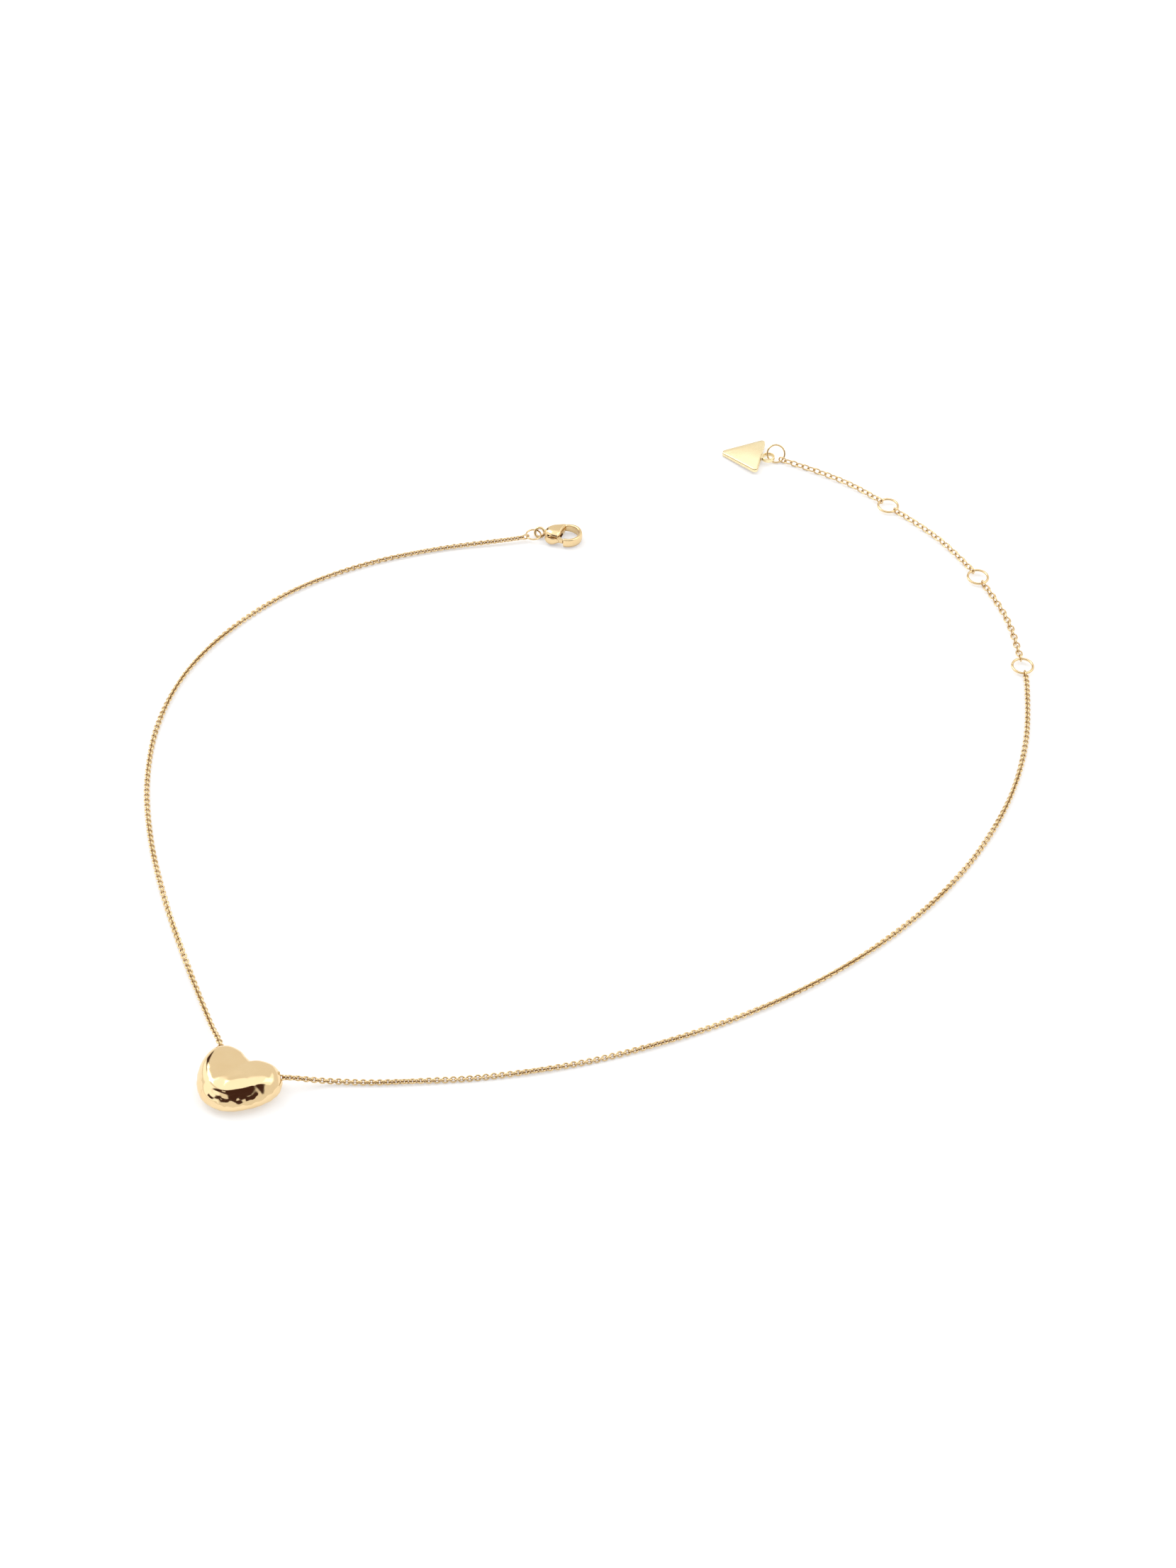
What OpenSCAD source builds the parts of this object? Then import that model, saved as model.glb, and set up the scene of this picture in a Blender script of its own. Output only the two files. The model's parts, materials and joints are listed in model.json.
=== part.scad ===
// Pendant necklace: a puffed heart between two strands of fine oval-link chain,
// a lobster clasp on one strand and a three-step extender with a blank triangular
// tag on the other. It lies closed on itself as an open loop, ready to be worn.
// Units are millimetres. +Z is up, z = 0 is the surface that it lies on.

/* [Main chain] */
// Distance from one link to the next along the main chain
chain_pitch = 0.70; // [0.69:0.005:0.71]
// Radius of the round wire that the main chain's links are bent from
chain_wire_r = 0.16; // [0.15:0.005:0.16]
// Outer width of a main chain link
chain_link_w = 1.17; // [1.15:0.01:1.19]
// Links in the strand from the heart to the clasp
left_links = 270; // [268:2:270]
// Links in the strand from the heart to the extender
right_links = 284; // [282:2:284]

/* [Connecting links] */
// Inner length of the four heavier links that end the strands
join_inner_l = 1.10; // [1.08:0.01:1.14]
// Wire radius of the heavier links
join_wire_r = 0.17; // [0.16:0.005:0.175]
// Outer width of the heavier links
join_w = 1.34; // [1.32:0.01:1.35]

/* [Extender] */
// Distance from one extender link to the next
cable_pitch = 1.34; // [1.33:0.005:1.35]
// Wire radius of the extender's links
cable_wire_r = 0.15; // [0.14:0.005:0.15]
// Outer width of an extender link
cable_link_w = 1.45; // [1.42:0.01:1.48]
// Links between one adjuster ring and the next
cable_links = 19; // [19:2:19]
// Radius to the middle of the wire of an adjuster ring
ring_r = 2.05; // [2.00:0.01:2.08]
// Wire radius of an adjuster ring
ring_wire_r = 0.25; // [0.22:0.01:0.25]
// Angle by which a ring's far side is lifted off the surface
ring_tilt = 4; // [3:0.5:4.5]

/* [End ring and tag] */
// Radius to the middle of the wire of the ring that carries the tag
end_ring_r = 1.85; // [1.83:0.01:1.87]
// Wire radius of that ring
end_ring_wire_r = 0.20; // [0.18:0.01:0.20]
// Width of the tag across its two corners beside the eye
tag_w = 10.7; // [10:0.1:11.5]
// Height of the tag's triangle from that side to its tip
tag_h = 8.1; // [7.5:0.1:9]
// Thickness of the tag
tag_t = 1.05; // [0.85:0.05:1.2]
// Thickness of the tag's eye
tag_eye_t = 0.85; // [0.8:0.05:0.85]
// Radius of the tag's rounded corners
tag_corner_r = 0.8; // [0.6:0.1:1]
// Outer radius of the tag's eye
tag_eye_r = 1.42; // [1.40:0.01:1.42]
// Radius of the hole in the tag's eye
tag_hole_r = 1.00; // [1.00:0.01:1.02]

/* [Heart] */
// Height of the heart from its back to its face
heart_t = 5.2; // [5:0.1:5.6]
// Wall of the heart's two hollow halves
heart_wall = 0.5; // [0.4:0.05:0.55]
// Radius of the two pins inside the heart that hold the strands
heart_pin_r = 0.25; // [0.22:0.01:0.26]

/* [Clasp] */
// Length of the clasp from the outside of its eye to the outside of its hook
clasp_l = 10.1; // [10:0.05:10.2]
// Thickness of the clasp
clasp_t = 2.4; // [2.3:0.05:2.5]
// Radius of the clasp's rivet
rivet_r = 0.40; // [0.38:0.01:0.42]
// Gap between the rivet and the lever's hole
rivet_fit = 0.03; // [0.02:0.005:0.04]

/* [Hidden] */
$fn = 48;

gold = [0.86, 0.70, 0.42];
dark_gold = [0.70, 0.55, 0.32];
left_sections = 8;
right_sections = 9;
slack = 0.02;
ring_slack = 0.06;

chain_inner_l = chain_pitch + slack;
cable_inner_l = cable_pitch + 1.5 * slack;
chain_r = chain_link_w / 2 - chain_wire_r;
cable_r = cable_link_w / 2 - cable_wire_r;
join_r = join_w / 2 - join_wire_r;

// Where the middle of each strand's wire runs, chosen by hand: x, y, lift off the surface.
left_route = [[-62.8, -86, 2.0], [-64.2, -82, 1.5], [-66.3, -76.8, 0.3], [-72.3, -61.7, 0],
  [-77.8, -46.4, 0], [-82.2, -30.8, 0], [-84.8, -14.9, 0], [-84.7, 1.3, 0], [-81, 17.1, 0],
  [-73.3, 31.3, 0], [-62.6, 43.4, 0], [-49.2, 52.5, 0], [-34.2, 58.7, 0], [-18.5, 62.5, 0.4],
  [-13.5, 64.6, 0.5], [-9, 66.5, 0.5]];
right_route = [[-52.8, -91.2, 2.0], [-50.3, -90.8, 1.6], [-44, -90, 0.3], [-34.1, -89.5, 0],
  [-18, -87.5, 0], [-2.4, -83.7, 0], [12.6, -77.9, 0], [27, -70.5, 0], [40.3, -61.5, 0],
  [52.4, -50.8, 0], [63, -38.6, 0], [71.6, -25, 0], [78.1, -10.2, 0], [82, 5.4, 0],
  [83.4, 21.5, 0.1], [82.9, 28, 0.1], [81.5, 39.3, 0], [79.4, 46.9, 0], [76, 55.2, 0],
  [71.6, 63.2, 0], [66.9, 69.8, 0], [58.7, 78.3, 0], [52, 84.6, 0], [45.2, 89, 0],
  [36, 93.6, 0], [30, 96.4, 0]];

// Positions along a route, by distance from its start.
function bend(a, b, c, d, t) =
  0.5 * (2 * b + (c - a) * t + (2 * a - 5 * b + 4 * c - d) * t * t + (3 * b - a - 3 * c + d) * t * t * t);
function smooth(p, steps = 12) = [for (i = [0:len(p) - 2]) for (j = [0:steps - 1])
  bend(p[max(i - 1, 0)], p[i], p[i + 1], p[min(i + 2, len(p) - 1)], j / steps)];
function distances(p) = [for (i = 0, s = 0; i < len(p); i = i + 1,
  s = i < len(p) ? s + norm(p[i] - p[i - 1]) : s) s];
function column(p, s, axis) = [for (i = [0:len(p) - 1]) [s[i], p[i][axis]]];
function tables(route) = let (p = smooth(route), s = distances(p)) [for (axis = [0:2]) column(p, s, axis)];
function at(t, s) = [lookup(s, t[0]), lookup(s, t[1]), max(0, lookup(s, t[2]))];
function heading(t, s) = let (d = at(t, s + 0.3) - at(t, s - 0.3)) d / norm(d);

left = tables(left_route);
right = tables(right_route);

// Stations: how far along its route each piece stands.
join_gap = (join_inner_l + chain_inner_l) / 2 - slack;
join_s = join_inner_l / 2 - heart_pin_r - slack;
chain_s = join_s + join_gap;
left_end_s = chain_s + (left_links - 1) * chain_pitch + join_gap;
right_end_s = chain_s + (right_links - 1) * chain_pitch + join_gap;
jump_ring_r = 1.50;
jump_ring_wire_r = 0.18;
jump_ring_z = 1.10;
jump_s = left_end_s + join_inner_l / 2 + jump_ring_r - jump_ring_wire_r - ring_slack;
ring_in = cable_inner_l / 2 + ring_r - ring_wire_r - ring_slack;
ring_step = 2 * ring_in + (cable_links - 1) * cable_pitch;
ring_1_s = right_end_s + join_inner_l / 2 + ring_r - ring_wire_r - ring_slack;
cable_s = [for (k = [0:2]) ring_1_s + k * ring_step + ring_in];

// Heights of the middle of the wire of what rests on the surface.
chain_z = chain_r + chain_wire_r;
cable_z = cable_r + cable_wire_r;
ring_z = 0.81;
cable_climb = 0.15;

// How far each section of the main chain rolls about its own line, chosen by hand.
left_roll = [20, -30, 15, 35, -20, 30, -15, 20];
right_roll = [30, 45, 40, 25, -20, 20, 35, -25, 15];

module torus(r, wire_r) {
  rotate_extrude() translate([r, 0]) circle(wire_r, $fn = 24);
}

// One link of round wire: two half rings joined by two straights.
module link(r, wire_r, inner_l) {
  straight = inner_l - 2 * (r - wire_r);
  for (side = [-1, 1]) {
    translate([side * straight / 2, 0, 0]) rotate([0, 0, -side * 90])
      rotate_extrude(angle = 180) translate([r, 0]) circle(wire_r, $fn = 24);
    translate([-straight / 2, side * r, 0]) rotate([0, 90, 0])
      cylinder(h = straight, r = wire_r, $fn = 24);
  }
}

module on_route(t, s, z, roll) {
  d = heading(t, s);
  translate(at(t, s) + [0, 0, z])
    rotate([0, -asin(d.z), atan2(d.y, d.x)]) rotate([roll, 0, 0]) children();
}

module join_link(t, s, roll) {
  color(gold) on_route(t, s, chain_z, roll) link(join_r, join_wire_r, join_inner_l);
}

// First link of a section. Every section has an even number of links and starts upright.
function section_start(links, sections, k) = 2 * floor(links * (k - 1) / (2 * sections));

// A section is two nodes: every fourth link, from its first, carries it, and the others hang between.
carrying_step = 4;
module chain_section(t, links, rolls, k, carrying) {
  first = section_start(links, len(rolls), k);
  last = section_start(links, len(rolls), k + 1) - 1;
  color(gold) for (i = [first:last]) if (((i - first) % carrying_step == 0) == carrying) {
    roll = rolls[k - 1] * sin(180 * (i - first) / (last - first));
    z = chain_r * max(abs(sin(roll)), cos(roll)) + chain_wire_r;
    on_route(t, chain_s + i * chain_pitch, z, roll + (i % 2 == 0 ? 90 : 0))
      link(chain_r, chain_wire_r, chain_inner_l);
  }
}

module extender(k) {
  color(gold) for (i = [0:cable_links - 1]) {
    upright = i % 2 == 0;
    z = cable_z + cable_climb / (1 + i);
    on_route(right, cable_s[k - 1] + i * cable_pitch, z, upright ? 90 : 0)
      link(cable_r, cable_wire_r, cable_inner_l);
  }
}

module adjuster_ring(k) {
  p = at(right, ring_1_s + (k - 1) * ring_step);
  color(gold) translate([p.x, p.y, ring_z]) rotate([ring_tilt, 0, 0]) torus(ring_r, ring_wire_r);
}

// The end ring leans on the tag's eye: its low side hooks the last link and its raised
// side stands over the eye.
end_tilt = 50;
end_ring_z = 1.70;
end_ring_c = let (p = at(right, cable_s[2] + (cable_links - 1) * cable_pitch + cable_inner_l / 2))
  [p.x - 0.85, p.y + 0.60, end_ring_z];
tag_eye_c = [end_ring_c.x - 1.6, end_ring_c.y - 0.7];

module end_ring() {
  color(gold) translate(end_ring_c) rotate([end_tilt, 0, 0]) torus(end_ring_r, end_ring_wire_r);
}

// The tag is a blank triangle with rounded corners, with an eye beside its widest side.
// It leans from the end ring down to its tip.
tag_heading = 169.5;
tag_eye_z = 0.70;
tag_neck_l = 1.75;
tag_neck_w = 1.6;
module tag() {
  half_w = tag_w / 2 - tag_corner_r;
  near = tag_neck_l + tag_corner_r;
  tip = tag_neck_l + tag_h - tag_corner_r;
  color(gold) translate([tag_eye_c.x, tag_eye_c.y, tag_eye_z])
    rotate([0, 0, tag_heading]) rotate([0, asin(tag_eye_z / (tag_neck_l + tag_h)), 0]) difference() {
      union() {
        cylinder(h = tag_eye_t, r = tag_eye_r);
        linear_extrude(tag_t) offset(r = tag_corner_r, $fn = 32)
          polygon([[near, -half_w], [near, half_w], [tip, 0]]);
        translate([tag_eye_r - 0.2, -tag_neck_w / 2, 0])
          cube([tag_neck_l - tag_eye_r + 0.4, tag_neck_w, tag_eye_t]);
      }
      translate([0, 0, -1]) cylinder(h = tag_eye_t + 2, r = tag_hole_r);
    }
}

// The heart: two hollow halves that meet at half height. The outline is drawn about the
// middle of the heart, and the cleft is at its upper right.
heart_c = [-60, -92.1];
heart_outline = [[8.2, 0.3], [7.2, 2.6], [4.9, 3.7], [2.8, 3.7], [1.6, 4.6], [0.2, 6.2],
  [-2.2, 7.3], [-4.5, 6.8], [-6.1, 4.6], [-6.9, 1.6], [-6.8, -1.4], [-5.6, -4.2],
  [-3.4, -6.2], [-0.4, -6.8], [3, -6.1], [6.3, -4.1], [7.9, -1.9]];
heart_half = heart_t / 2;
heart_levels = 6;
heart_size = 7.2;
function closed(p, steps = 4) = let (n = len(p)) [for (i = [0:n - 1]) for (j = [0:steps - 1])
  bend(p[(i + n - 1) % n], p[i], p[(i + 1) % n], p[(i + 2) % n], j / steps)];
heart_rim = closed(heart_outline);

// Rings of a dome from its rim up to its flat top, drawn in from the outline by inset.
function dome(inset) = [for (l = [0:heart_levels]) let (a = 76 * l / heart_levels,
  f = pow(cos(a), 0.7) * (1 - inset / heart_size), z = (heart_half - inset) * pow(sin(a) / sin(76), 0.75))
  for (p = heart_rim) [p.x * f, p.y * f, z]];

module heart_shell() {
  n = len(heart_rim);
  m = n * (heart_levels + 1);
  outer = [for (l = [0:heart_levels - 1]) for (i = [0:n - 1]) let (j = (i + 1) % n)
    [l * n + i, l * n + n + i, l * n + n + j, l * n + j]];
  inner = [for (f = outer) [f[3] + m, f[2] + m, f[1] + m, f[0] + m]];
  rim = [for (i = [0:n - 1]) let (j = (i + 1) % n) [i, j, m + j, m + i]];
  cap = [for (i = [n - 1:-1:0]) m - n + i];
  inner_cap = [for (i = [0:n - 1]) 2 * m - n + i];
  color(gold) difference() {
    polyhedron(concat(dome(0), dome(heart_wall)), concat(outer, inner, rim, [cap], [inner_cap]));
    for (t = [left, right]) heart_hole(t);
  }
}

// The hole that a strand leaves the heart by, along the strand's own first direction.
heart_hole_r = 0.92;
module heart_hole(t) {
  p = at(t, 0);
  d = heading(t, 0.5);
  translate([p.x - heart_c.x, p.y - heart_c.y, 0]) rotate([0, 90, atan2(d.y, d.x)])
    cylinder(h = 3, r = heart_hole_r);
}

module heart_front_shell() {
  translate([heart_c.x, heart_c.y, heart_half]) heart_shell();
}

module heart_back_shell() {
  translate([heart_c.x, heart_c.y, heart_half]) mirror([0, 0, 1]) heart_shell();
}

heart_pin_l = 2.5;
module heart_pin(t) {
  p = at(t, 0);
  color(dark_gold) translate([p.x, p.y, heart_half - heart_pin_l / 2])
    cylinder(h = heart_pin_l, r = heart_pin_r);
}

// The clasp is drawn along +X with its eye at the origin.
clasp_c = let (p = at(left, jump_s + 1.4)) [p.x, p.y, 0];
clasp_heading = -4.5;
clasp_mid = clasp_t / 2;
eye_r = 0.95;
eye_wire_r = 0.30;
eye_tilt = 50;
hook_r = 3.0;
hook_band = 0.75;
hook_c = [clasp_l - eye_r - eye_wire_r - hook_r, -0.2];
lever_t = 0.80;
lever_gap = 0.05;
rivet_c = [3.5, -1.0];
body_outline = [[1.1, 0.6], [1.7, 1.3], [2.8, 2.1], [4.2, 2.6], [5.4, 2.8], [5.2, 1.4],
  [4.4, -0.1], [4.3, -1.5], [3.6, -1.9], [2.6, -1.6], [1.6, -1.0], [1.1, -0.6]];

module at_clasp() {
  translate(clasp_c) rotate([0, 0, clasp_heading]) children();
}

module hook() {
  start = 104;
  translate([hook_c.x, hook_c.y, 0]) rotate([0, 0, start])
    rotate_extrude(angle = -(start + 104)) translate([hook_r - hook_band, 0.2])
      square([hook_band, clasp_t - 0.4]);
}

module clasp_body() {
  color(gold) at_clasp() difference() {
    union() {
      translate([0, 0, clasp_mid]) rotate([eye_tilt, 0, 0]) torus(eye_r, eye_wire_r);
      translate([eye_r, 0, clasp_mid]) rotate([0, 90, 0]) cylinder(h = 0.6, r = 0.35);
      linear_extrude(clasp_t) polygon(body_outline);
      hook();
    }
    translate([1.7, -5, clasp_mid - lever_t / 2 - lever_gap]) cube([2.9, 5.5, lever_t + 2 * lever_gap]);
    translate([rivet_c.x, rivet_c.y, -1]) cylinder(h = clasp_t + 2, r = rivet_r);
  }
}

module clasp_lever() {
  color(gold) at_clasp() translate([rivet_c.x, rivet_c.y, clasp_mid - lever_t / 2]) difference() {
    linear_extrude(lever_t) {
      hull() {
        circle(0.78);
        translate([1.43, -1.33]) circle(0.30);
      }
      hull() {
        circle(0.78);
        translate([-0.9, -1.5]) circle(0.45);
      }
      hull() {
        translate([-0.9, -1.5]) circle(0.45);
        translate([-1.9, -0.9]) circle(0.30);
      }
    }
    translate([0, 0, -1]) cylinder(h = lever_t + 2, r = rivet_r + rivet_fit);
  }
}

module clasp_rivet() {
  color(dark_gold) at_clasp() translate([rivet_c.x, rivet_c.y, 0]) cylinder(h = clasp_t, r = rivet_r);
}

// A bent strip in the clasp's slot that pushes the lever back.
module clasp_spring() {
  color(dark_gold) at_clasp() translate([2.35, -0.25, clasp_mid - 0.3]) rotate([0, 0, -40])
    rotate_extrude(angle = 290) translate([0.38, 0]) square([0.12, 0.6]);
}

module clasp_jump_ring() {
  p = at(left, jump_s);
  color(gold) translate([p.x, p.y, jump_ring_z]) rotate([ring_tilt, 0, 0])
    torus(jump_ring_r, jump_ring_wire_r);
}

for (side = ["left", "right"])
  heart_pin(side == "left" ? left : right);
for (side = ["left", "right"])
  join_link(side == "left" ? left : right, join_s, 0);
for (k = [1:left_sections]) {
  chain_section(left, left_links, left_roll, k, true);
  chain_section(left, left_links, left_roll, k, false);
}
for (k = [1:right_sections]) {
  chain_section(right, right_links, right_roll, k, true);
  chain_section(right, right_links, right_roll, k, false);
}
for (k = [1:3])
  adjuster_ring(k);
for (k = [1:3])
  extender(k);
heart_front_shell();
heart_back_shell();
join_link(left, left_end_s, 90);  // clasp_end_link
clasp_jump_ring();
clasp_body();
clasp_lever();
clasp_rivet();
clasp_spring();
join_link(right, right_end_s, 90);  // ring_end_link
end_ring();
tag();
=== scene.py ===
import json
import math

import bmesh
import bpy
import numpy as np
from mathutils import Matrix, Vector, noise


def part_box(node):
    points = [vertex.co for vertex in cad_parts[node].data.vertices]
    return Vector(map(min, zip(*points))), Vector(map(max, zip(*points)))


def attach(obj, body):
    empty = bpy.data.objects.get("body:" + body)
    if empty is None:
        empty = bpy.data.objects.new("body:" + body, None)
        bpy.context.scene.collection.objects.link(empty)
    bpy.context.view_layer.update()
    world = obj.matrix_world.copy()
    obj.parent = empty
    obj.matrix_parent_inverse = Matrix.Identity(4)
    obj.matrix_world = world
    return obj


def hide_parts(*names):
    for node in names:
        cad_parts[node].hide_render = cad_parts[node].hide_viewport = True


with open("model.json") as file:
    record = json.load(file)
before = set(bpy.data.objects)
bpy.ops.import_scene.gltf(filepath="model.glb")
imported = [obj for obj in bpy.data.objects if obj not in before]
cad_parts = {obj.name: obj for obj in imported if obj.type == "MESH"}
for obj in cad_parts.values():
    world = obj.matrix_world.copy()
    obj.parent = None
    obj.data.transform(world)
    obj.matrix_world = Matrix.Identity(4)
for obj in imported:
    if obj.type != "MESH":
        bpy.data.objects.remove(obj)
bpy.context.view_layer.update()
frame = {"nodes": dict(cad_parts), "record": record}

# Everything is in metres. Shapes are drawn in millimetres and scaled by MM at the end,
# because Blender's remesh and booleans are not accurate at a few hundredths of a millimetre.
MM = 0.001
BODY_OF = {node: body for body, nodes in frame["record"]["behaviour"]["bodies"].items() for node in nodes}


# ---------------------------------------------------------------- camera, light, floor

CAMERA_ELEVATION = math.radians(42)
CAMERA_ROLL = math.radians(2)
CAMERA_DISTANCE = 0.616
CAMERA_AIM = Vector((-0.002, -0.011, 0))
CAMERA_LENS = 74.86
BACKDROP = (1.0, 1.0, 1.0, 1)
STUDIO_WHITE = (0.93, 0.91, 0.88, 1)
SOFTBOX_WHITE = (1.34, 1.36, 1.38, 1)
DARK_SIDE = (0.061, 0.026, 0.020, 1)
FLOOR_HALF = 2.5
FLOOR_DROP = 0.00003
FLOOR_GLOW = 0.42


def make_camera():
    """Looks down on the necklace from the side of the heart."""
    back = Vector((0, -math.cos(CAMERA_ELEVATION), math.sin(CAMERA_ELEVATION)))
    level_up = Vector((0, math.sin(CAMERA_ELEVATION), math.cos(CAMERA_ELEVATION)))
    level_right = Vector((1, 0, 0))
    right = level_right * math.cos(CAMERA_ROLL) + level_up * math.sin(CAMERA_ROLL)
    up = level_up * math.cos(CAMERA_ROLL) - level_right * math.sin(CAMERA_ROLL)
    data = bpy.data.cameras.new("camera")
    data.sensor_fit, data.sensor_height, data.lens = "VERTICAL", 36, CAMERA_LENS
    data.clip_start, data.clip_end = 0.01, 20
    camera = bpy.data.objects.new("camera", data)
    bpy.context.collection.objects.link(camera)
    place = Matrix((right, up, back)).transposed().to_4x4()
    place.translation = CAMERA_AIM + back * CAMERA_DISTANCE
    camera.matrix_world = place
    bpy.context.scene.camera = camera


def area_light(name, place, aim, size, power):
    data = bpy.data.lights.new(name, "AREA")
    data.shape, data.size, data.size_y = "RECTANGLE", size[0], size[1]
    data.energy = power
    light = bpy.data.objects.new(name, data)
    bpy.context.collection.objects.link(light)
    light.location = place
    light.rotation_euler = (Vector(aim) - Vector(place)).to_track_quat("-Z", "Y").to_euler()


def make_lights():
    area_light("key_softbox", (-0.55, 0.35, 0.75), (0, 0, 0), (0.5, 0.5), 2.2)
    area_light("fill_softbox", (0.6, 0.1, 0.8), (0, 0, 0), (0.6, 0.6), 0.8)


def make_world():
    """A white studio with one dark side, the side of the camera, that polished metal can reflect."""
    world = bpy.data.worlds.new("studio")
    world.use_nodes = True
    nodes, links = world.node_tree.nodes, world.node_tree.links
    nodes.clear()
    spot = nodes.new("ShaderNodeTexCoord")
    axes = nodes.new("ShaderNodeSeparateXYZ")
    links.new(spot.outputs["Generated"], axes.inputs[0])

    def math_node(kind, a, b=None):
        n = nodes.new("ShaderNodeMath")
        n.operation = kind
        for i, value in enumerate((a, b)):
            if value is None:
                continue
            if isinstance(value, (int, float)):
                n.inputs[i].default_value = value
            else:
                links.new(value, n.inputs[i])
        return n.outputs[0]

    def band(value, low, high):
        n = nodes.new("ShaderNodeMapRange")
        n.interpolation_type = "SMOOTHSTEP"
        n.inputs["From Min"].default_value, n.inputs["From Max"].default_value = low, high
        links.new(value, n.inputs["Value"])
        return n.outputs["Result"]

    def mixed(amount, a, b):
        n = nodes.new("ShaderNodeMix")
        n.data_type = "RGBA"
        links.new(amount, n.inputs["Factor"])
        for socket, value in ((n.inputs["A"], a), (n.inputs["B"], b)):
            if isinstance(value, tuple):
                socket.default_value = value
            else:
                links.new(value, socket)
        return n.outputs["Result"]

    def both(a, b):
        return math_node("MULTIPLY", a, b)

    # Each band fades in between two values of a direction, and x, y and z run from -1 to 1.
    x, y, z = axes.outputs
    overhead = both(band(z, 0.76, 0.86), band(y, -0.55, -0.40))
    left_box = both(band(x, -0.56, -0.66), both(band(z, 0.12, 0.20), band(z, 0.66, 0.58)))
    right_box = both(both(band(x, 0.46, 0.56), band(y, -0.50, -0.40)), band(z, 0.42, 0.50))
    boxes = math_node("MAXIMUM", overhead, math_node("MAXIMUM", left_box, right_box))
    side = math_node("ABSOLUTE", math_node("ADD", x, 0.12))
    front = both(band(y, -0.38, -0.46), band(side, 0.74, 0.66))
    dark = both(front, both(band(z, 0.34, 0.40), band(z, 0.88, 0.83)))
    window = both(band(math_node("ABSOLUTE", math_node("ADD", x, 0.30)), 0.16, 0.12),
                  both(band(z, 0.52, 0.56), band(z, 0.72, 0.68)))
    strip = both(band(math_node("ABSOLUTE", math_node("ADD", x, 0.50)), 0.10, 0.07),
                 both(band(y, 0.55, 0.65), band(z, 0.16, 0.22)))
    dark = math_node("MAXIMUM", both(dark, math_node("SUBTRACT", 1.0, both(window, 0.75))), strip)
    light = mixed(boxes, STUDIO_WHITE, SOFTBOX_WHITE)
    light = mixed(dark, light, DARK_SIDE)

    studio = nodes.new("ShaderNodeBackground")
    links.new(light, studio.inputs["Color"])
    plain = nodes.new("ShaderNodeBackground")
    plain.inputs["Color"].default_value = BACKDROP
    seen = nodes.new("ShaderNodeLightPath")
    pick = nodes.new("ShaderNodeMixShader")
    links.new(seen.outputs["Is Camera Ray"], pick.inputs[0])
    links.new(studio.outputs[0], pick.inputs[1])
    links.new(plain.outputs[0], pick.inputs[2])
    out = nodes.new("ShaderNodeOutputWorld")
    links.new(pick.outputs[0], out.inputs["Surface"])
    bpy.context.scene.world = world
    bpy.context.scene.view_settings.view_transform = "Standard"


def make_floor():
    half = FLOOR_HALF
    mesh = bpy.data.meshes.new("floor")
    corners = [(-half, -half, 0), (half, -half, 0), (half, half, 0), (-half, half, 0)]
    mesh.from_pydata(corners, [], [(0, 1, 2, 3)])
    floor = bpy.data.objects.new("floor", mesh)
    floor.location.z = -FLOOR_DROP
    bpy.context.collection.objects.link(floor)
    material = bpy.data.materials.new("paper_floor")
    material.use_nodes = True
    shader = material.node_tree.nodes["Principled BSDF"]
    shader.inputs["Roughness"].default_value = 0.9
    shader.inputs["Specular IOR Level"].default_value = 0.1
    nodes, links = material.node_tree.nodes, material.node_tree.links
    shader.inputs["Emission Color"].default_value = (1, 1, 1, 1)
    shader.inputs["Emission Strength"].default_value = FLOOR_GLOW
    grain = nodes.new("ShaderNodeTexNoise")
    grain.inputs["Scale"].default_value = 40
    tint = nodes.new("ShaderNodeValToRGB")
    tint.color_ramp.elements[0].color = (0.62, 0.62, 0.625, 1)
    tint.color_ramp.elements[1].color = (0.63, 0.63, 0.63, 1)
    links.new(grain.outputs["Fac"], tint.inputs["Fac"])
    links.new(tint.outputs["Color"], shader.inputs["Base Color"])
    mesh.materials.append(material)


# ---------------------------------------------------------------- materials

# Brown painted into creases and hollows as shade.
CREVICE_SHADE_BROWN = (0.22, 0.10, 0.035, 1)


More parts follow.
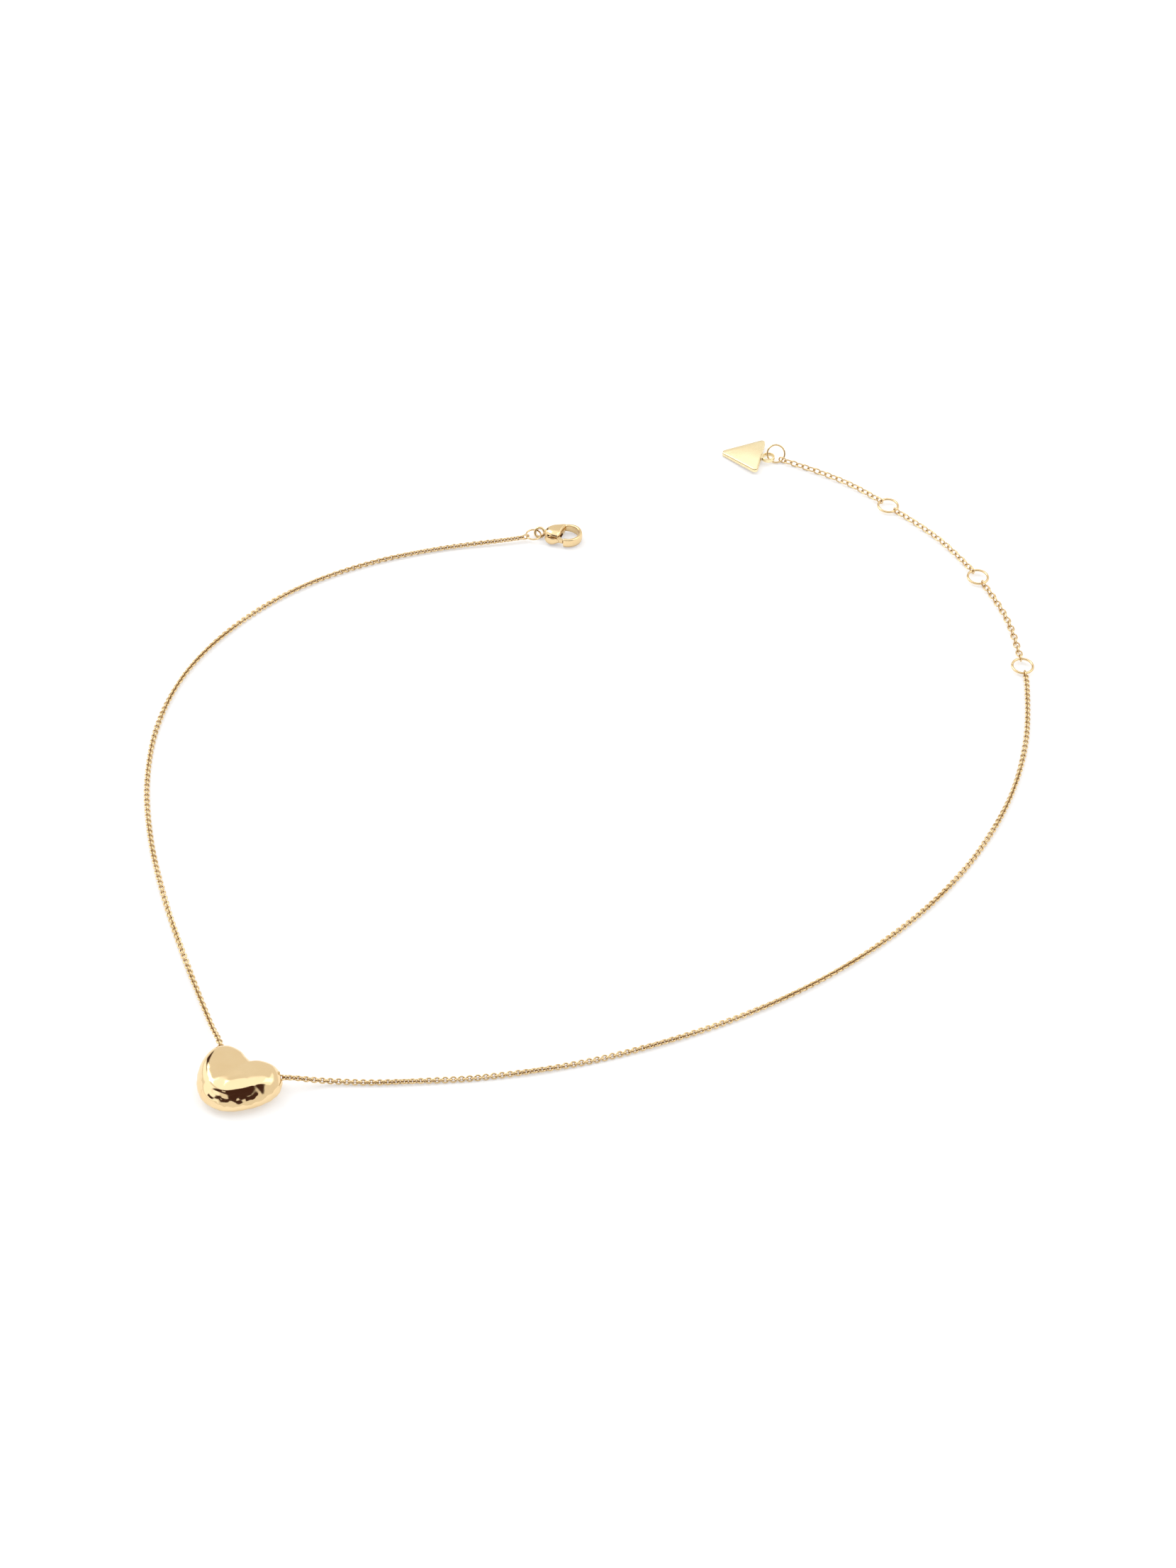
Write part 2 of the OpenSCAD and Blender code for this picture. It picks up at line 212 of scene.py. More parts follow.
def metal(name, light, deep, roughness, grain, grain_size, crease_shade=0.0, crease_shade_reach=0.3):
    """Polished metal. Colour drifts between two tones, roughness is uneven, and the bump is fine polishing
    marks. Painted shade browns the creases and hollows that ambient occlusion finds, where shade falls. Sizes
    are in millimetres."""
    material = bpy.data.materials.new(name)
    material.use_nodes = True
    nodes, links = material.node_tree.nodes, material.node_tree.links
    shader = nodes["Principled BSDF"]
    shader.inputs["Metallic"].default_value = 1.0
    place = nodes.new("ShaderNodeTexCoord")
    scale = nodes.new("ShaderNodeMapping")
    for axis in range(3):
        scale.inputs["Scale"].default_value[axis] = 1 / MM
    links.new(place.outputs["Object"], scale.inputs["Vector"])

    def wave(size, detail):
        n = nodes.new("ShaderNodeTexNoise")
        n.inputs["Scale"].default_value, n.inputs["Detail"].default_value = 1 / size, detail
        links.new(scale.outputs["Vector"], n.inputs["Vector"])
        return n.outputs["Fac"]

    drift = nodes.new("ShaderNodeValToRGB")
    drift.color_ramp.elements[0].position, drift.color_ramp.elements[1].position = 0.35, 0.65
    drift.color_ramp.elements[0].color, drift.color_ramp.elements[1].color = (*deep, 1), (*light, 1)
    links.new(wave(4.0, 3), drift.inputs["Fac"])
    colour = drift.outputs["Color"]
    # Painted shade: the less open sky a point sees, the browner its colour.
    if crease_shade > 0:
        open_sky = nodes.new("ShaderNodeAmbientOcclusion")
        open_sky.samples = 8
        open_sky.inputs["Distance"].default_value = crease_shade_reach * MM
        hidden = nodes.new("ShaderNodeMapRange")
        hidden.inputs["From Min"].default_value, hidden.inputs["From Max"].default_value = 0.85, 0.30
        hidden.inputs["To Max"].default_value = crease_shade
        links.new(open_sky.outputs["AO"], hidden.inputs["Value"])
        crease_shaded = nodes.new("ShaderNodeMix")
        crease_shaded.data_type = "RGBA"
        crease_shaded.inputs["B"].default_value = CREVICE_SHADE_BROWN
        links.new(hidden.outputs["Result"], crease_shaded.inputs["Factor"])
        links.new(colour, crease_shaded.inputs["A"])
        colour = crease_shaded.outputs["Result"]
    links.new(colour, shader.inputs["Base Color"])
    rough = nodes.new("ShaderNodeMapRange")
    rough.inputs["From Min"].default_value, rough.inputs["From Max"].default_value = 0.3, 0.7
    rough.inputs["To Min"].default_value = roughness * 0.8
    rough.inputs["To Max"].default_value = roughness * 1.25
    links.new(wave(0.8, 5), rough.inputs["Value"])
    links.new(rough.outputs["Result"], shader.inputs["Roughness"])
    bump = nodes.new("ShaderNodeBump")
    bump.inputs["Distance"].default_value = grain * MM
    links.new(wave(grain_size, 6), bump.inputs["Height"])
    links.new(bump.outputs["Normal"], shader.inputs["Normal"])
    return material


def make_materials():
    """One metal for each material slot of the part."""
    return {
        # The last two numbers, where given, are the strength and reach in millimetres of the painted crease
        # shade.
        "heart_gold": metal("heart_gold", (0.87, 0.67, 0.39), (0.85, 0.64, 0.36), 0.08, 0.003, 0.10),
        "chain_gold": metal("chain_gold", (0.82, 0.62, 0.35), (0.74, 0.54, 0.28), 0.14, 0.004, 0.12,
                            0.85, 0.30),
        "ring_gold": metal("ring_gold", (0.84, 0.64, 0.37), (0.79, 0.59, 0.32), 0.12, 0.004, 0.15,
                           0.5, 0.30),
        "clasp_gold": metal("clasp_gold", (0.85, 0.65, 0.37), (0.80, 0.60, 0.33), 0.13, 0.004, 0.20,
                            0.75, 1.50),
        "tag_gold": metal("tag_gold", (0.98, 0.84, 0.53), (0.95, 0.79, 0.48), 0.24, 0.008, 0.22,
                          0.75, 0.80),
        "pin_gold": metal("pin_gold", (0.78, 0.58, 0.31), (0.72, 0.52, 0.27), 0.16, 0.004, 0.10),
        "spring_steel": metal("spring_steel", (0.62, 0.60, 0.57), (0.52, 0.51, 0.49), 0.28, 0.004, 0.10),
    }


# ---------------------------------------------------------------- mesh helpers

def mesh_object(name, points, faces):
    mesh = bpy.data.meshes.new(name)
    mesh.from_pydata([tuple(map(float, p)) for p in points], [], [tuple(int(i) for i in f) for f in faces])
    mesh.validate()
    thing = bpy.data.objects.new(name, mesh)
    bpy.context.collection.objects.link(thing)
    return thing


def bake_modifiers(thing):
    """Applies an object's modifiers, and leaves none on it."""
    depsgraph = bpy.context.evaluated_depsgraph_get()
    done = bpy.data.meshes.new_from_object(thing.evaluated_get(depsgraph))
    thing.modifiers.clear()
    thing.data = done


def carve(thing, tool, operation="DIFFERENCE"):
    cut = thing.modifiers.new("carve", "BOOLEAN")
    cut.operation, cut.solver, cut.object = operation, "MANIFOLD", tool
    bake_modifiers(thing)
    bpy.data.objects.remove(tool)


def finish_piece(thing, node, place=Matrix.Identity(4), smooth_angle=None):
    """Scales a piece from millimetres to metres, puts it in place, and lets it stand for its CAD node."""
    mesh = thing.data
    mesh.transform(Matrix.Scale(MM, 4) @ place)
    mesh.update()
    tidy = bmesh.new()
    tidy.from_mesh(mesh)
    bmesh.ops.recalc_face_normals(tidy, faces=tidy.faces)
    tidy.to_mesh(mesh)
    tidy.free()
    mesh.shade_smooth()
    if smooth_angle is not None:
        mesh.set_sharp_from_angle(angle=math.radians(smooth_angle))
    slot = SLOT_OF[node]
    mesh.materials.clear()
    mesh.materials.append(MATERIALS[slot])
    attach(thing, BODY_OF[node])
    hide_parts(node)


def tube_rings(path, normals, sideways, radii, sides):
    """Rings of points about a path, each in the plane of its two directions."""
    angles = np.linspace(0, 2 * math.pi, sides, endpoint=False)
    return [p + radius * (math.cos(a) * n + math.sin(a) * s)
            for p, n, s, radius in zip(path, normals, sideways, radii) for a in angles]


def closed_tube_faces(count, sides):
    """Faces of a tube whose last ring joins its first."""
    faces = []
    for i in range(count):
        j = (i + 1) % count
        for k in range(sides):
            m = (k + 1) % sides
            faces.append((i * sides + k, j * sides + k, j * sides + m, i * sides + m))
    return faces


def stack_faces(count, sides):
    """Faces of a stack of equal rings, with flat ends."""
    faces = []
    for i in range(count - 1):
        for k in range(sides):
            m = (k + 1) % sides
            faces.append((i * sides + k, i * sides + m, (i + 1) * sides + m, (i + 1) * sides + k))
    faces.append(tuple(range(sides - 1, -1, -1)))
    faces.append(tuple((count - 1) * sides + k for k in range(sides)))
    return faces


# ---------------------------------------------------------------- chain links and rings

def loose_parts(node):
    """The separate solids of a CAD node, each as its triangles' corners in millimetres."""
    mesh = frame["nodes"][node].data
    mesh.calc_loop_triangles()
    points = np.empty(len(mesh.vertices) * 3)
    mesh.vertices.foreach_get("co", points)
    points = points.reshape(-1, 3) / MM
    triangles = np.empty(len(mesh.loop_triangles) * 3, dtype=np.int64)
    mesh.loop_triangles.foreach_get("vertices", triangles)
    _, same = np.unique(np.round(points, 4), axis=0, return_inverse=True)
    triangles = triangles.reshape(-1, 3)
    joined = same.reshape(-1)[triangles]
    label = np.arange(joined.max() + 1)
    while True:
        low = label[joined].min(axis=1)
        before = label.copy()
        for corner in range(3):
            np.minimum.at(label, joined[:, corner], low)
        label = label[label]
        if (label == before).all():
            break
    owner = label[joined[:, 0]]
    return [points[triangles[owner == k]] for k in np.unique(owner)]


def oval_of(corners):
    """Middle, axes (long, wide, thin) and sizes of a flat oval of round wire, from its surface."""
    area = np.linalg.norm(np.cross(corners[:, 1] - corners[:, 0], corners[:, 2] - corners[:, 0]), axis=1)
    centres = corners.mean(axis=1)
    rough_middle = (centres * area[:, None]).sum(0) / area.sum()
    off = centres - rough_middle
    _, axes = np.linalg.eigh((off * area[:, None]).T @ off)
    axes = axes.T[::-1]
    if np.linalg.det(axes) < 0:
        axes[2] = -axes[2]
    along = corners.reshape(-1, 3) @ axes.T
    low, high = along.min(0), along.max(0)
    return ((low + high) / 2) @ axes, axes, high - low


def oval_wire(middle, axes, sizes, arc_steps, sides, seam=None):
    """Points and faces of one oval of round wire. A seam is a fine groove where the wire's ends meet."""
    wire = sizes[2] / 2
    bend = (sizes[1] - sizes[2]) / 2
    straight = max(sizes[0] - sizes[1], 0)
    steps = []
    for side in (1, -1):
        for angle in np.linspace(-90, 90, arc_steps + 1):
            if straight < 0.02 and angle > 89.9:
                continue
            a = math.radians(angle + (0 if side > 0 else 180))
            steps.append((side * straight / 2 + bend * math.cos(a), bend * math.sin(a), a, 1.0))
    if seam is not None:
        groove = [(-0.06, 1.0), (-0.02, 1.0), (0.0, 0.86), (0.02, 1.0), (0.06, 1.0)]
        steps = [s for s in steps if abs((s[2] - seam + math.pi) % (2 * math.pi) - math.pi) > 0.07]
        steps += [(bend * math.cos(seam + d), bend * math.sin(seam + d), seam + d, r) for d, r in groove]
        steps.sort(key=lambda s: (s[2] + math.pi) % (2 * math.pi))
    path = [middle + x * axes[0] + y * axes[1] for x, y, _, _ in steps]
    outward = [math.cos(a) * axes[0] + math.sin(a) * axes[1] for _, _, a, _ in steps]
    radii = [wire * r for _, _, _, r in steps]
    return tube_rings(path, outward, [axes[2]] * len(path), radii, sides), closed_tube_faces(len(path), sides)


def make_wire_node(node, arc_steps, sides, seam=None):
    """A group of wire links, or one wire ring, in the places of its CAD node's solids."""
    points, faces = [], []
    for corners in loose_parts(node):
        p, f = oval_wire(*oval_of(corners), arc_steps, sides, seam)
        faces += [tuple(i + len(points) for i in face) for face in f]
        points += p
    finish_piece(mesh_object(node + "_wire", points, faces), node)


def make_chains_and_rings():
    for node in frame["nodes"]:
        if node.startswith(("chain_", "extender_")):
            make_wire_node(node, 8, 10)
        elif "link" in node:
            make_wire_node(node, 12, 14)
        elif node.startswith("adjuster_ring") or node in ("clasp_jump_ring", "end_ring"):
            make_wire_node(node, 40, 20, seam=RING_SEAMS.get(node, 0.8))


# ---------------------------------------------------------------- heart

# Outline about the middle of the heart, with the cleft at its upper right, as in the CAD part.
HEART_OUTLINE = [(8.2, 0.3), (7.2, 2.6), (4.9, 3.7), (2.8, 3.7), (1.6, 4.6), (0.2, 6.2),
                 (-2.2, 7.3), (-4.5, 6.8), (-6.1, 4.6), (-6.9, 1.6), (-6.8, -1.4), (-5.6, -4.2),
                 (-3.4, -6.2), (-0.4, -6.8), (3, -6.1), (6.3, -4.1), (7.9, -1.9)]
HEART_STEPS = 16
HEART_HALF = 2.6
HEART_WALL = 0.5
HEART_SIZE = 7.2
# Profiles of the heart from its face to its back: how far in from the outline, and how high.
# The first point is the crease round the face, and each profile stands at a compass angle in degrees.
PROFILES = {
    -155: [(2.2, 4.98), (1.75, 4.58), (0.45, 3.25), (0.15, 2.5),
           (0.1, 1.8), (0.35, 1.1), (0.9, 0.5), (1.8, 0.12)],
    -115: [(2.5, 4.8), (2.2, 4.5), (1.1, 3.05), (0.6, 2.3),
           (0.5, 1.7), (0.75, 1.05), (1.3, 0.5), (2.2, 0.12)],
    -75: [(2.9, 4.85), (2.5, 4.5), (1.25, 3.0), (0.8, 2.3),
          (0.65, 1.7), (0.9, 1.05), (1.5, 0.5), (2.4, 0.12)],
    -40: [(2.8, 4.9), (2.4, 4.5), (1.0, 3.05), (0.6, 2.3),
          (0.5, 1.7), (0.8, 1.05), (1.4, 0.5), (2.3, 0.12)],
    -10: [(2.3, 4.95), (1.7, 4.6), (0.4, 3.35), (0.1, 2.5),
          (0.1, 1.8), (0.4, 1.1), (1.0, 0.5), (1.9, 0.12)],
    60: [(1.7, 4.95), (0.9, 4.55), (0.15, 3.4), (0.0, 2.6),
         (0.1, 1.8), (0.4, 1.1), (1.0, 0.5), (1.9, 0.12)],
    150: [(1.8, 4.95), (1.0, 4.55), (0.2, 3.4), (0.0, 2.6),
          (0.1, 1.8), (0.4, 1.1), (1.0, 0.5), (1.9, 0.12)],
}
FACE_TOP = 5.17
PROFILE_POINTS = 150
HALF_ROWS = 80
# Rounds of smoothing down the profiles. The crease stays crisp about CREASE_ANGLE after the first few.
SMOOTH_ROUNDS, CRISP_AFTER, CREASE_ANGLE = 120, 14, -95
# The hollow inside the crease is deepest at HOLLOW_ANGLE.
HOLLOW_ANGLE = -80
# Dents of the hammered side, which start at a share of the outline and fade out under the face.
DENT_DEPTH, DENT_SIZE = 0.10, 0.9
SIDE_FROM, SIDE_FADE = 0.55, 0.25
DENT_TOP, DENT_FADE = 4.3, 0.8
BACK_DENTS = 0.35
SIDE_SINK = 0.05


def smooth_loop(points, steps):
    p = np.array(points, float)
    out = []
    for i in range(len(p)):
        a, b, c, d = p[i - 1], p[i], p[(i + 1) % len(p)], p[(i + 2) % len(p)]
        for j in range(steps):
            t = j / steps
            out.append(0.5 * (2 * b + (c - a) * t + (2 * a - 5 * b + 4 * c - d) * t * t
                              + (3 * b - a - 3 * c + d) * t ** 3))
    return np.array(out)


def profiles_at(angles):
    """The heart's profile at each compass angle, eased between the two nearest ones."""
    keys = sorted(PROFILES)
    table = np.array([PROFILES[k] for k in keys])
    marks = np.array(keys + [keys[0] + 360], float)
    turned = (angles - marks[0]) % 360 + marks[0]
    low = np.clip(np.searchsorted(marks, turned, side="right") - 1, 0, len(keys) - 1)
    t = (turned - marks[low]) / (marks[low + 1] - marks[low])
    t = (t * t * (3 - 2 * t))[:, None, None]
    return table[low] * (1 - t) + table[(low + 1) % len(keys)] * t


def along_line(line, count):
    """Evenly spaced points along a line."""
    steps = np.linalg.norm(np.diff(line, axis=0), axis=1)
    at = np.concatenate([[0], np.cumsum(steps)])
    even = np.linspace(0, at[-1], count)
    return np.column_stack([np.interp(even, at, line[:, axis]) for axis in (0, 1)])


def heart_surface(rim):
    """Outer surface of the heart: rows of points from the middle of its face to the middle of its back."""
    reach = np.linalg.norm(rim, axis=1)
    angles = np.degrees(np.arctan2(rim[:, 1], rim[:, 0]))
    shoulders = profiles_at(angles)
    columns = []
    for radius, angle, shoulder in zip(reach, angles, shoulders):
        away = abs((angle - HOLLOW_ANGLE + 180) % 360 - 180)
        near = 0.5 - 0.5 * math.cos(math.radians(min(180, away * 1.6) - 180))
        step_in = shoulder[0, 0] + 1.9
        crescent = shoulder[0, 1] + 0.06 + 0.30 * near
        line = [(radius, FACE_TOP), (radius * 0.72, FACE_TOP - 0.02 - 0.04 * near), (step_in, crescent)]
        line += [tuple(s) for s in shoulder] + [(shoulder[-1, 0] + 1.2, 0.0), (radius, 0.0)]
        columns.append(along_line(np.array(line), PROFILE_POINTS))
    grid = np.array(columns).transpose(1, 0, 2)
    sharp = np.clip(np.cos(np.radians(angles - CREASE_ANGLE)) * 1.6, 0, 1)[None, :, None]
    for turn in range(SMOOTH_ROUNDS):
        weight = np.where(turn < CRISP_AFTER, 1.0, 1.0 - sharp)
        between = 0.5 * (grid[:-2] + grid[2:])
        grid[1:-1] += 0.5 * weight * (between - grid[1:-1])
    return grid


def ramp(value, start, width):
    """0 up to start, and 1 from a width further on."""
    return min(1, max(0, (value - start) / width))


def half_columns(grid, front):
    """Each column of the heart's surface from the height where the halves meet to the middle of one face."""
    columns = []
    for k in range(grid.shape[1]):
        line = grid[:, k]
        cut = int(np.argmax(line[:, 1] < HEART_HALF))
        high, low = line[cut - 1], line[cut]
        seam = low + (high - low) * (HEART_HALF - low[1]) / (high[1] - low[1])
        half = np.vstack([line[:cut], seam])[::-1] if front else np.vstack([seam, line[cut:]])
        columns.append(along_line(half, HALF_ROWS))
    return np.array(columns)


def half_heart(front):
    """One hollow half, about the middle of the heart's outline, with the heart's back at height 0."""
    rim = smooth_loop(HEART_OUTLINE, HEART_STEPS)
    reach = np.linalg.norm(rim, axis=1)
    columns = half_columns(heart_surface(rim), front)
    n, rows = len(rim), HALF_ROWS - 1
    points, faces = [], []
    for wall in (0.0, HEART_WALL):
        first = len(points)
        for row in range(rows):
            for k in range(n):
                inset, height = columns[k, row]
                share = max(0.0, 1 - inset / reach[k])
                x, y = rim[k] * share
                on_side = ramp(share, SIDE_FROM, SIDE_FADE) * ramp(-height, -DENT_TOP, DENT_FADE)
                facing = BACK_DENTS + (1 - BACK_DENTS) * ramp(-y, -3, 5)
                dent = DENT_DEPTH * noise.noise(Vector((x, y, height)) / DENT_SIZE) * on_side * facing
                share = share * (1 - wall / HEART_SIZE) + min(0, dent - SIDE_SINK * on_side) / reach[k]
                height = HEART_HALF + (height - HEART_HALF) * (1 - wall / HEART_HALF)
                points.append((*(rim[k] * share), height))
        tip = len(points)
        points.append((0, 0, HEART_HALF + (columns[0, rows, 1] - HEART_HALF) * (1 - wall / HEART_HALF)))
        sheet = [(first + row * n + k, first + row * n + (k + 1) % n, first + (row + 1) * n + (k + 1) % n,
                  first + (row + 1) * n + k) for row in range(rows - 1) for k in range(n)]
        sheet += [(tip - n + k, tip - n + (k + 1) % n, tip) for k in range(n)]
        faces += sheet if wall == 0 else [f[::-1] for f in sheet]
    inner = len(points) // 2
    faces += [((k + 1) % n, k, inner + k, inner + (k + 1) % n) for k in range(n)]
    return points, faces if front else [f[::-1] for f in faces]


def box_mesh(name, low, high):
    corners = [(x, y, z) for x in (low[0], high[0]) for y in (low[1], high[1]) for z in (low[2], high[2])]
    sides = [(0, 1, 3, 2), (4, 6, 7, 5), (0, 4, 5, 1), (2, 3, 7, 6), (0, 2, 6, 4), (1, 5, 7, 3)]
    return mesh_object(name, corners, sides)


def make_heart():
    """Two hollow halves that meet at half height, with a hole for each strand."""
    for node, front in (("heart_front_shell", True), ("heart_back_shell", False)):
        shell = mesh_object(node + "_gold", *half_heart(front))
        for side in ("left", "right"):
            carve(shell, strand_hole(side))
        finish_piece(shell, node, Matrix.Translation((*HEART_MIDDLE, 0)), smooth_angle=40)


def strand_hole(side):
    """A cylinder along the strand's first direction, where it leaves the heart."""
    pin = middle_of("heart_pin_" + side)
    away = middle_of("heart_link_" + side) - pin
    turn = math.atan2(away.y, away.x)
    angles = np.linspace(0, 2 * math.pi, 40, endpoint=False)
    rings = [(x, HOLE_R * math.cos(a), HOLE_R * math.sin(a)) for x in (0.0, 3.0) for a in angles]
    hole = mesh_object("hole", rings, stack_faces(2, 40))
    hole.data.transform(Matrix.Translation((pin.x - HEART_MIDDLE[0], pin.y - HEART_MIDDLE[1], HEART_HALF))
                        @ Matrix.Rotation(turn, 4, "Z"))
    return hole


def middle_of(node):
    low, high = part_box(node)
    return (Vector(low) + Vector(high)) / 2 / MM


# ---------------------------------------------------------------- clasp

# The clasp is drawn along +X with its eye at the origin and its middle at height CLASP_MID,
# as in the CAD part. Its outside is rounder than the CAD's, and its rivet is hidden from the front.
CLASP_HEADING = math.radians(-4.5)
CLASP_MID = 1.2
RIVET = (3.5, -1.0)
RIVET_R = 0.40
RIVET_TOP = 1.85
EYE_R, EYE_WIRE_R, EYE_TILT = 0.95, 0.30, math.radians(50)
HOOK_MIDDLE, HOOK_R, HOOK_END = (5.85, -0.2), 3.0, 104
HOOK_SECTION = [(0.0, -0.80), (0.10, -0.95), (0.40, -1.0), (0.62, -0.88), (0.73, -0.55), (0.75, 0.0),
                (0.73, 0.55), (0.62, 0.88), (0.40, 1.0), (0.10, 0.95), (0.0, 0.80)]
BODY_OUTLINE = [(1.1, 0.6), (1.7, 1.3), (2.8, 2.1), (4.2, 2.6), (5.4, 2.8), (5.15, 1.5), (4.75, 0.3),
                (4.4, -1.0), (3.7, -1.8), (2.6, -1.6), (1.6, -1.0), (1.1, -0.6)]
# Height over the middle and share of the outline, from the widest level to the flat oval on top.
BODY_LEVELS = [(0.0, 1.0), (0.35, 0.99), (0.62, 0.95), (0.84, 0.87), (1.00, 0.76), (1.11, 0.63), (1.17, 0.50),
               (1.20, 0.38)]
BODY_CENTRE = (3.15, 0.6)
BODY_OVAL = (2.1, 1.75)


def clasp_place():
    rivet = middle_of("clasp_rivet")
    turn = Matrix.Rotation(CLASP_HEADING, 4, "Z")
    start = rivet - turn @ Vector((*RIVET, 0))
    return Matrix.Translation((start.x, start.y, 0)) @ turn


def prism(name, outline, low, high):
    points = [(x, y, low) for x, y in outline] + [(x, y, high) for x, y in outline]
    return mesh_object(name, points, stack_faces(2, len(outline)))


def cylinder(name, middle, radius, low, high, sides=48):
    angles = np.linspace(0, 2 * math.pi, sides, endpoint=False)
    return prism(name, [(middle[0] + radius * math.cos(a), middle[1] + radius * math.sin(a)) for a in angles],
                 low, high)


def melt(things, voxel, rounds):
    """Joins overlapping solids into one smooth casting."""
    first = things[0]
    for thing in things[1:]:
        carve(first, thing, "UNION")
    remesh = first.modifiers.new("remesh", "REMESH")
    remesh.mode, remesh.voxel_size, remesh.adaptivity = "VOXEL", voxel, 0
    soften = first.modifiers.new("soften", "SMOOTH")
    soften.factor, soften.iterations = 0.5, rounds
    bake_modifiers(first)
    return first


def make_clasp_body():
    outline = np.array(BODY_OUTLINE)
    fine = smooth_loop(outline[::-1], 8)
    levels = [(-z, s) for z, s in reversed(BODY_LEVELS)] + BODY_LEVELS[1:]
    centre = np.array(BODY_CENTRE)
    rings = []
    for z, share in levels:
        for p in fine - centre:
            oval = p / math.hypot(p[0] / BODY_OVAL[0], p[1] / BODY_OVAL[1])
            rings.append((*(centre + share * (share * p + (1 - share) * oval)), CLASP_MID + z))
    dome = mesh_object("clasp_body_casting", rings, stack_faces(len(levels), len(fine)))

    angles = np.linspace(0, 2 * math.pi, 72, endpoint=False)
    tilt = np.array((0, math.cos(EYE_TILT), math.sin(EYE_TILT)))
    across = np.array((0, -math.sin(EYE_TILT), math.cos(EYE_TILT)))
    outward = [math.cos(a) * np.array((1, 0, 0)) + math.sin(a) * tilt for a in angles]
    path = [np.array((0, 0, CLASP_MID)) + EYE_R * o for o in outward]
    eye = mesh_object("eye", tube_rings(path, outward, [across] * 72, [EYE_WIRE_R] * 72, 24),
                      closed_tube_faces(72, 24))
    steps = np.linspace(0.85, 2.0, 8)
    neck_path = [np.array((x, 0, CLASP_MID)) for x in steps]
    neck = mesh_object("neck", tube_rings(neck_path, [np.array((0, 1, 0))] * 8, [np.array((0, 0, 1))] * 8,
                                          np.linspace(0.30, 0.72, 8), 24), stack_faces(8, 24))

    arc = np.radians(np.linspace(HOOK_END, -HOOK_END, 90))
    section = np.array(HOOK_SECTION)
    hook_points = []
    for i, a in enumerate(arc):
        taper = 1 - 0.25 * max(0, 1 - i / 20)
        for depth, height in section:
            r = HOOK_R - 0.75 + depth
            hook_points.append((HOOK_MIDDLE[0] + r * math.cos(a), HOOK_MIDDLE[1] + r * math.sin(a),
                                CLASP_MID + height * taper))
    hook = mesh_object("hook", hook_points, stack_faces(len(arc), len(section)))
    body = melt([dome, eye, neck, hook], 0.045, 20)
    carve(body, box_mesh("slot", (1.7, -5, CLASP_MID - 0.45), (4.9, 0.5, CLASP_MID + 0.45)))
    carve(body, cylinder("rivet_hole", RIVET, RIVET_R, -1, RIVET_TOP))
    finish_piece(body, "clasp_body", clasp_place(), smooth_angle=35)


LEVER_T, LEVER_PLAY = 0.80, 0.01
# From the tip of the gate, over the pivot, round the end of the thumb pad and back under it.
LEVER_OUTLINE = [(5.2, -2.35), (4.9, -1.95), (4.35, -1.25), (4.05, -0.55), (3.5, -0.26), (2.95, -0.55),
                 (2.5, -1.15), (1.9, -1.52), (1.5, -1.6), (1.38, -1.82), (1.62, -2.14), (2.1, -2.46),
                 (2.65, -2.68), (3.2, -2.64), (3.8, -2.42), (4.4, -2.48), (4.95, -2.6)]
CHANNEL_OUTLINE = [(1.62, -1.8), (2.1, -1.7), (2.8, -1.66), (3.5, -1.78), (3.95, -2.05), (3.5, -2.36),
                   (2.75, -2.5), (2.1, -2.26), (1.68, -1.98)]


# The middle of the strip round the thumb pad, its thickness and its height.
STRIP_PATH = [(1.34, -1.62), (1.42, -1.88), (1.66, -2.2), (2.08, -2.5), (2.65, -2.72), (3.22, -2.68),
              (3.72, -2.48), (4.15, -2.42)]
STRIP_T = 0.34
STRIP_HEIGHTS = [0.5, 0.9, 1.25, 1.45, 1.5, 1.4, 1.1, 0.7]


def thumb_strip():
    """The tall rounded strip that a thumb pulls, round the outside of the pad."""
    path = [np.array((*p, 0)) for p in STRIP_PATH]
    up = np.array((0, 0, 1))
    points = []
    for i, p in enumerate(path):
        along = path[min(i + 1, len(path) - 1)] - path[max(i - 1, 0)]
        across = np.cross(along / np.linalg.norm(along), up)
        points += [p + across * STRIP_T / 2 * math.cos(a) + up * STRIP_HEIGHTS[i] / 2 * math.sin(a)
                   for a in np.linspace(0, 2 * math.pi, 24, endpoint=False)]
    return mesh_object("strip", points, stack_faces(len(path), 24))


def make_clasp_lever():
    """A cast lever whose thumb pad has a deep channel on both faces."""
    half = LEVER_T / 2 - LEVER_PLAY
    lever = prism("clasp_lever_casting", smooth_loop(LEVER_OUTLINE, 6), -half, half)
    for low, high in ((0.06, 1), (-1, -0.06)):
        carve(lever, prism("channel", smooth_loop(CHANNEL_OUTLINE[::-1], 6), low, high))
    lever = melt([lever, thumb_strip()], 0.03, 14)
    carve(lever, cylinder("pivot_hole", RIVET, RIVET_R + 0.03, -2, 2))
    finish_piece(lever, "clasp_lever", clasp_place() @ Matrix.Translation((0, 0, CLASP_MID)), smooth_angle=35)


def make_clasp_rivet():
    """A pin with a low domed head, pressed in from the back."""
    levels = [(0.0, 0.10), (0.25, 0.12), (0.36, 0.17), (RIVET_R, 0.26), (RIVET_R, RIVET_TOP - 0.05),
              (0.0, RIVET_TOP - 0.01)]
    angles = np.linspace(0, 2 * math.pi, 40, endpoint=False)
    points = [(max(r, 0.02) * math.cos(a), max(r, 0.02) * math.sin(a), z) for r, z in levels for a in angles]
    rivet = mesh_object("clasp_rivet_pin", points, stack_faces(len(levels), 40))
    finish_piece(rivet, "clasp_rivet", clasp_place() @ Matrix.Translation((*RIVET, 0)), smooth_angle=40)


# ---------------------------------------------------------------- tag

